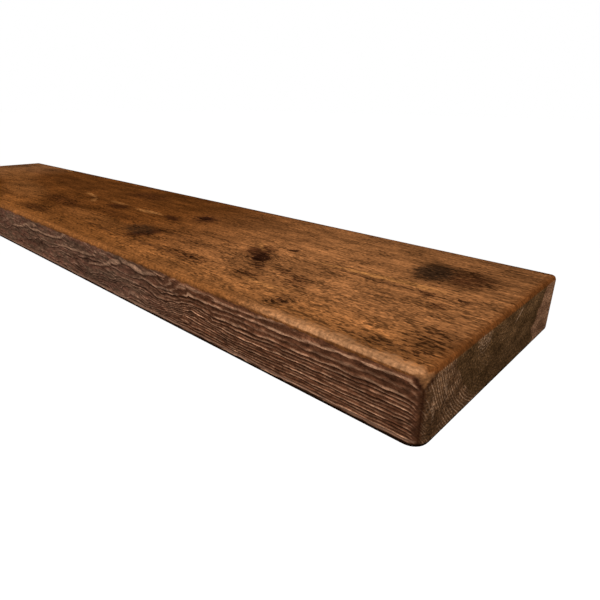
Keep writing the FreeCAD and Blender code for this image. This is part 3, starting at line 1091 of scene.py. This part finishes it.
def plated(name, colour, lines):
    """A plated steel with a cloudy bloom and fine marks of these lengths along x, y and z."""
    metal = Finish(name)
    bloom = metal.chance(BLOOM_LENGTHS, detail=5.0, seed=3.0)
    marks = metal.chance(lines, detail=2.0, seed=13.0)
    metal.shader.inputs["Metallic"].default_value = 1.0
    shaded = metal.lit(colour, metal.total((bloom, 0.12), (marks, 0.14)))
    metal.surface(shaded, metal.total((METAL_ROUGHNESS, 1.0), (bloom, -0.04)), marks, LINE_DEPTH)
    return metal.material


plate_steel = plated("zinc_plate", tone(182, 184, 186), PLATE_LINES)
rod_steel = plated("zinc_rod", tone(178, 181, 183), ROD_LINES)
screw_steel = plated("yellow_zinc", tone(200, 168, 96), SCREW_LINES)
print("metals:", plate_steel.name, rod_steel.name, screw_steel.name)

# %% Nylon finish
NYLON_GREY = tone(168, 168, 165)
NYLON_ROUGHNESS = 0.55
FLOW_LENGTHS = (6.0, 14.0, 6.0)
PIT_LENGTHS = (0.25, 0.25, 0.25)
PIT_DEPTH = 0.003 * MM

plastic = Finish("grey_nylon")
flow = plastic.chance(FLOW_LENGTHS, detail=4.0, seed=9.0)
pitting = plastic.chance(PIT_LENGTHS, detail=1.0, seed=19.0)
nylon_colour = plastic.lit(NYLON_GREY, plastic.total((flow, 0.1), (pitting, 0.04)))
plastic.surface(nylon_colour, plastic.total((NYLON_ROUGHNESS, 1.0), (pitting, 0.02)), pitting, PIT_DEPTH)
plastic.tally()

# %% Put the finishes on
finishes = {
    "bracket_plate": plate_steel, "support_rod": rod_steel,
    "wall_screws": screw_steel, "wall_plugs": plastic.material,
}
for side in SIDES:
    for kind, material in finishes.items():
        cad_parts[side + "_" + kind].data.materials.clear()
        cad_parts[side + "_" + kind].data.materials.append(material)
print("finished pieces:", len(SIDES) * len(finishes))

# %% [markdown]
# ## Light and camera
# The shelf hangs in the air above a pale floor that is far enough below to take only a faint shadow. A large
# soft lamp above the right front makes the top the brightest face and the end the darkest. The background
# is plain white to the camera.

# %% Floor
FLOOR_DROP = 1.2
FLOOR_SIZE = 120.0

bm = bmesh.new()
bmesh.ops.create_grid(bm, x_segments=2, y_segments=2, size=FLOOR_SIZE / 2)
bmesh.ops.translate(bm, verts=bm.verts[:], vec=(0, 0, -FLOOR_DROP))
floor_mesh = bpy.data.meshes.new("floor")
bm.to_mesh(floor_mesh)
bm.free()
floor = bpy.data.objects.new("floor", floor_mesh)
bpy.context.scene.collection.objects.link(floor)
print("floor lies at", -FLOOR_DROP, "m")


# %% Floor finish
def seen_directly(tree):
    """1 for rays from the camera, a mirror or glass, and 0 for those that carry light to the object."""
    path = tree.nodes.new("ShaderNodeLightPath")
    seen = path.outputs["Is Camera Ray"]
    for kind in ("Is Glossy Ray", "Is Transmission Ray"):
        either = tree.nodes.new("ShaderNodeMath")
        either.operation = "MAXIMUM"
        tree.links.new(seen, either.inputs[0])
        tree.links.new(path.outputs[kind], either.inputs[1])
        seen = either.outputs[0]
    return seen


FLOOR_GREY = (0.85, 0.85, 0.85, 1.0)
FLOOR_ROUGHNESS = 0.9
FLOOR_GLOW = 0.58
WHITE = (1.0, 1.0, 1.0, 1.0)

pale = Finish("pale_floor")
pale.shader.inputs["Base Color"].default_value = FLOOR_GREY
pale.shader.inputs["Roughness"].default_value = FLOOR_ROUGHNESS
pale.shader.inputs["Specular IOR Level"].default_value = 0.0
pale.shader.inputs["Emission Color"].default_value = WHITE
glow = pale.maths("MULTIPLY", seen_directly(pale.tree), FLOOR_GLOW)
pale.feed(pale.shader.inputs["Emission Strength"], glow)
floor_mesh.materials.append(pale.material)
pale.tally()

# %% World
AMBIENT = 0.5
BACKGROUND = 1.0

world = bpy.data.worlds.new("studio")
world.use_nodes = True
bpy.context.scene.world = world
sky = world.node_tree
level = sky.nodes.new("ShaderNodeMapRange")
level.inputs["To Min"].default_value = AMBIENT
level.inputs["To Max"].default_value = BACKGROUND
sky.links.new(seen_directly(sky), level.inputs["Value"])
background = sky.nodes["Background"]
background.inputs["Color"].default_value = WHITE
sky.links.new(level.outputs[0], background.inputs["Strength"])
bpy.context.scene.view_settings.view_transform = "Standard"
print("world light:", AMBIENT, "background:", BACKGROUND)

# %% Lamp
LAMP_PLACE = Vector((0.45, -0.6, 1.1))
LAMP_AIM = Vector((0.25, -0.1, 0.0))
LAMP_SIZE = 0.7
LAMP_POWER = 9.0

light = bpy.data.lights.new("key_lamp", "AREA")
light.size = LAMP_SIZE
light.energy = LAMP_POWER
lamp = bpy.data.objects.new("key_lamp", light)
lamp.location = LAMP_PLACE
lamp.rotation_euler = (LAMP_AIM - LAMP_PLACE).to_track_quat("-Z", "Y").to_euler()
bpy.context.scene.collection.objects.link(lamp)
print("lamp to board in m:", round((LAMP_AIM - LAMP_PLACE).length, 2))

# %% Camera
CAMERA_PLACE = (0.5588, -0.3759, 0.1377)
CAMERA_TURN = math.radians(41.96)
CAMERA_TILT = math.radians(21.61)
CAMERA_ROLL = math.radians(0.73)
FOCAL_PIXELS = 481.0
CENTRE_PIXEL = (301.6, 293.6)
IMAGE_PIXELS = 600
SENSOR_WIDTH = 36.0
NEAR_CLIP = 0.01

lens = bpy.data.cameras.new("camera")
lens.sensor_width = SENSOR_WIDTH
lens.lens = FOCAL_PIXELS * SENSOR_WIDTH / IMAGE_PIXELS
lens.shift_x = (IMAGE_PIXELS / 2 - CENTRE_PIXEL[0]) / IMAGE_PIXELS
lens.shift_y = (CENTRE_PIXEL[1] - IMAGE_PIXELS / 2) / IMAGE_PIXELS
lens.clip_start = NEAR_CLIP
camera = bpy.data.objects.new("camera", lens)
turn = Matrix.Rotation(CAMERA_TURN, 4, "Z")
tilt = Matrix.Rotation(math.pi / 2 - CAMERA_TILT, 4, "X")
roll = Matrix.Rotation(CAMERA_ROLL, 4, "Z")
camera.matrix_world = Matrix.Translation(CAMERA_PLACE) @ turn @ tilt @ roll
bpy.context.scene.collection.objects.link(camera)
bpy.context.scene.camera = camera
print("lens in mm:", round(lens.lens, 2))
